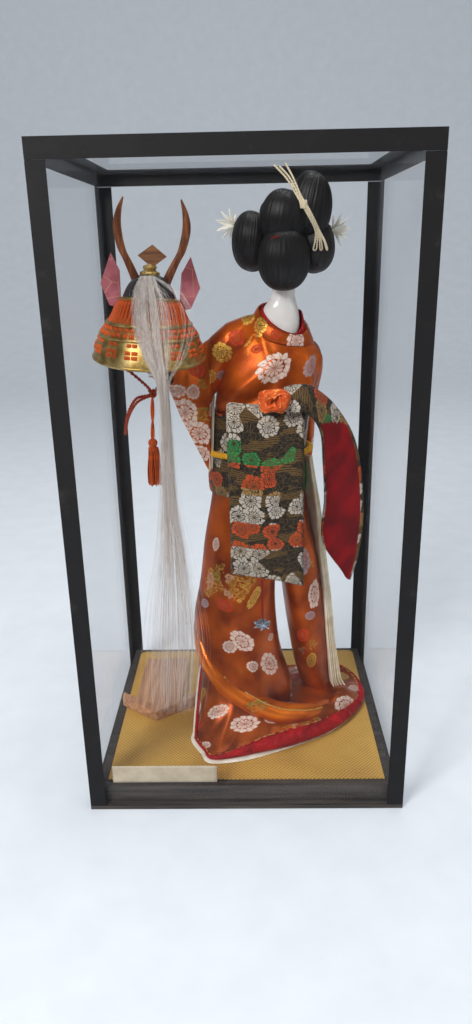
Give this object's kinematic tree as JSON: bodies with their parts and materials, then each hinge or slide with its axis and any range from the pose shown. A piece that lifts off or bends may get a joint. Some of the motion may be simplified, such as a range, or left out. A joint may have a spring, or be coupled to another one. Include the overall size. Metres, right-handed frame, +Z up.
{
  "type": "cased display doll",
  "caption": "Dressed lady doll holding up a ceremonial helmet, fixed on a low plinth under a lift-off glass hood bound with black tape, with a fallen notice board beside it.",
  "frame": {"origin": "middle of the base board's underside", "axes": "+Z up, -Y towards the side that the doll's back faces, +X to the right seen from there"},
  "size_m": [0.23, 0.21, 0.45],
  "materials": {
    "tape": "matt black binding tape",
    "glass": "clear",
    "plinth": "dark stained",
    "gold_paper": "gold brocade paper",
    "pale_wood": "plain",
    "frame_wood": "raw",
    "wire": "drawn",
    "skin": "polished shell white",
    "hair": "dressed silk hair",
    "paper_white": "twisted and cut paper",
    "kimono": "orange satin brocade",
    "red_silk": "red lining silk",
    "cream_silk": "layered under-robe edges",
    "sash": "black and gold brocade",
    "gold_cord": "braided cord",
    "silver": "bright foil",
    "black_lacquer": "black lacquer",
    "gilt": "gilt",
    "copper": "brown copper",
    "mane": "pale loose hair"
  },
  "bodies": {
    "base": {"base_board": "plinth", "plinth_block": "plinth", "brocade_panel": "gold_paper", "leg_dowel_left": "frame_wood", "leg_dowel_right": "frame_wood", "torso_core": "frame_wood", "arm_wire_left": "wire", "arm_wire_right": "wire", "hand_left": "skin", "hand_right": "skin", "bodice": "kimono", "inner_collar": "red_silk", "sleeve_left": "kimono", "sleeve_right": "kimono", "skirt_left": "kimono", "skirt_right": "kimono", "train": "kimono", "padded_hem": "red_silk", "front_edges": "cream_silk", "sash_band": "sash", "sash_drum": "sash", "sash_ribbon": "sash", "sash_cord": "gold_cord", "sash_scarf": "kimono"},
    "hood": {"glass_front": "glass", "glass_back": "glass", "glass_left": "glass", "glass_right": "glass", "glass_top": "glass", "corner_binding_front_left": "tape", "corner_binding_front_right": "tape", "corner_binding_back_left": "tape", "corner_binding_back_right": "tape", "top_binding_front": "tape", "top_binding_back": "tape", "top_binding_left": "tape", "top_binding_right": "tape"},
    "notice_board": {"sign_board": "pale_wood", "sign_roof": "pale_wood"},
    "head": {"head": "skin", "hair_front": "hair", "hair_side_left": "hair", "hair_side_right": "hair", "hair_chignon": "hair", "topknot": "hair", "hair_cord": "paper_white", "flower_left": "paper_white", "flower_right": "paper_white"},
    "helmet": {"helmet_bowl": "black_lacquer", "neck_guard": "gilt", "wing_left": "red_silk", "wing_right": "red_silk", "horn_left": "copper", "horn_right": "copper", "crest": "copper", "finial": "gilt", "mane": "mane", "chin_cord": "red_silk"},
    "tassel": {"tassel": "kimono"},
    "pendant": {"pendant": "silver"}
  },
  "joints": [
    {"name": "hood_lift", "type": "slide", "parent": "base", "child": "hood", "axis": [0, 0, 1], "range_m": [0, 0.46]},
    {"name": "notice_board_lift", "type": "slide", "parent": "base", "child": "notice_board", "axis": [0, 0, 1], "range_m": [0, 0.15]},
    {"name": "head_turn", "type": "hinge", "parent": "base", "child": "head", "pos_m": [0.033, 0.005, 0.3214], "axis": [0, 0, 1], "range_deg": [-25, 25]},
    {"name": "helmet_turn", "type": "hinge", "parent": "base", "child": "helmet", "pos_m": [-0.0616, -0.025, 0.3454], "axis": [0.0645, 0, 0.9979], "range_deg": [-8, 6]},
    {"name": "tassel_swing", "type": "hinge", "parent": "helmet", "child": "tassel", "pos_m": [-0.0626, -0.025, 0.2944], "axis": [0, 1, 0], "range_deg": [-12, 12]},
    {"name": "pendant_swing", "type": "hinge", "parent": "base", "child": "pendant", "pos_m": [0.014, -0.0415, 0.1556], "axis": [1, 0, 0], "range_deg": [-25, 12]}
  ]
}
